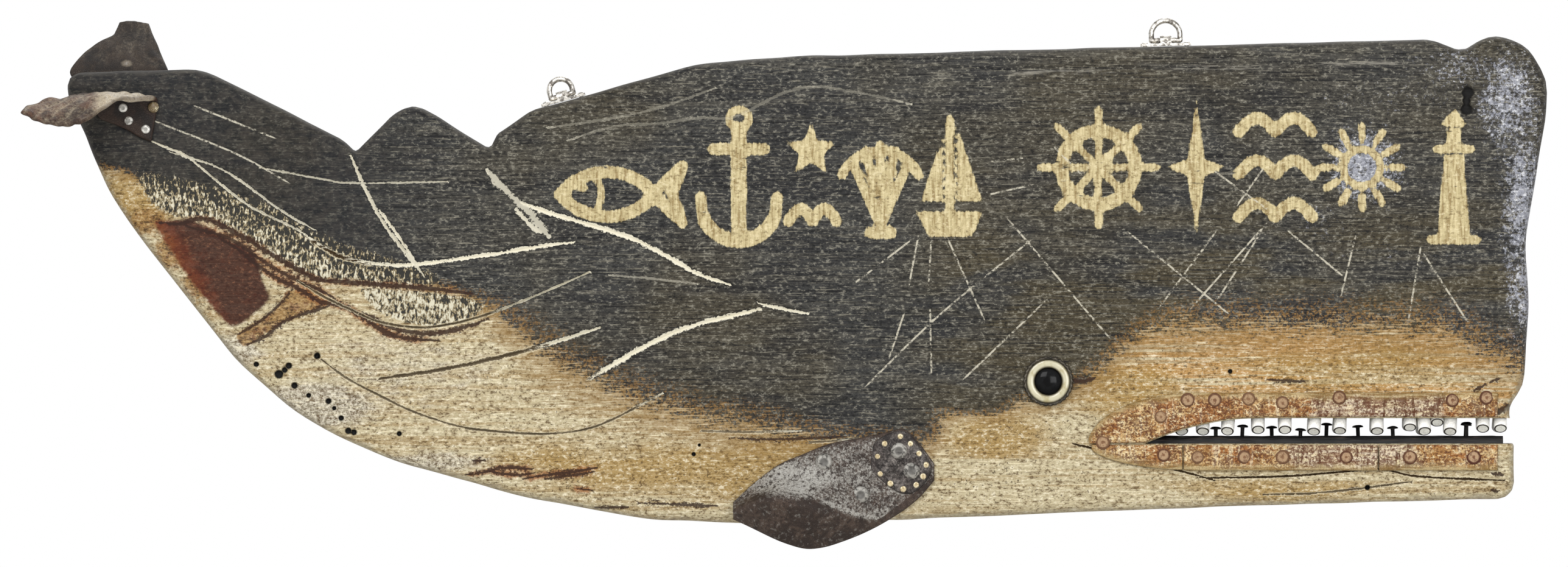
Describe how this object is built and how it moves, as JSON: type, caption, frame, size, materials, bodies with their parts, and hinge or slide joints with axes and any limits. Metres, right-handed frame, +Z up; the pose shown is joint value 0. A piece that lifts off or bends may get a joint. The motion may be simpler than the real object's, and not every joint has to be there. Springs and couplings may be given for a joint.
{
  "type": "hanging trade sign",
  "caption": "Double-sided hanging sign sawn as a whale from one plank, with leather fins, flukes and lips, glass eyes, pegs for teeth and two swinging hanging rings on top.",
  "frame": {"origin": "where a hook bears inside the front ring's arch, at the middle of the plank's thickness", "axes": "+X towards the whale's head, along the plank; +Z up; the right face of the whale looks to -Y"},
  "size_m": [1.0776, 0.147, 0.3765],
  "materials": {
    "painted_pine": "weathered matt paint over pine, satin varnish",
    "tooth_paint": "white painted wood pegs",
    "iron": "blackened iron",
    "eye_tin": "crimped tin with dark paint",
    "eye_white": "glazed white ring",
    "eye_glass": "polished black glass cabochon",
    "lip_leather": "worn tan leather",
    "copper": "oxidised copper",
    "fin_leather": "dark brown leather, rubbed grey",
    "dark_leather": "blackened leather",
    "fluke_leather": "crinkled brown leather",
    "brass": "bright pin heads",
    "bone": "bone peg",
    "hanger_steel": "plated steel"
  },
  "bodies": {
    "sign": {"whale_body": "painted_pine", "jaw_strip": "painted_pine", "upper_teeth": "tooth_paint", "lower_tooth_nails": "iron", "right_eye_rim": "eye_tin", "right_eye_white": "eye_white", "right_eye_glass": "eye_glass", "right_upper_lip": "lip_leather", "right_lower_lip_rear": "lip_leather", "right_lower_lip_middle": "lip_leather", "right_lower_lip_front": "lip_leather", "right_lip_tacks": "copper", "right_fin": "fin_leather", "right_fin_patch": "dark_leather", "right_fin_tacks": "iron", "right_fin_pins": "brass", "left_eye_rim": "eye_tin", "left_eye_white": "eye_white", "left_eye_glass": "eye_glass", "left_upper_lip": "lip_leather", "left_lower_lip_rear": "lip_leather", "left_lower_lip_middle": "lip_leather", "left_lower_lip_front": "lip_leather", "left_lip_tacks": "copper", "left_fin": "fin_leather", "left_fin_patch": "dark_leather", "left_fin_tacks": "iron", "left_fin_pins": "brass", "right_fluke": "fluke_leather", "left_fluke": "dark_leather", "fluke_tacks": "iron", "fluke_peg": "bone", "front_hanger_plate": "hanger_steel", "front_hanger_clip": "hanger_steel", "front_hanger_screws": "hanger_steel", "rear_hanger_plate": "hanger_steel", "rear_hanger_clip": "hanger_steel", "rear_hanger_screws": "hanger_steel"},
    "front_ring": {"front_hanger_ring": "hanger_steel"},
    "rear_ring": {"rear_hanger_ring": "hanger_steel"}
  },
  "joints": [
    {"name": "front_ring_swing", "type": "hinge", "parent": "sign", "child": "front_ring", "pos_m": [0.00032, 0, -0.0121], "axis": [0.9996, 0, 0.0265], "range_deg": [-90, 90]},
    {"name": "rear_ring_swing", "type": "hinge", "parent": "sign", "child": "rear_ring", "pos_m": [-0.4266, 0, -0.05127], "axis": [0.9648, 0, 0.2631], "range_deg": [-90, 90]}
  ]
}
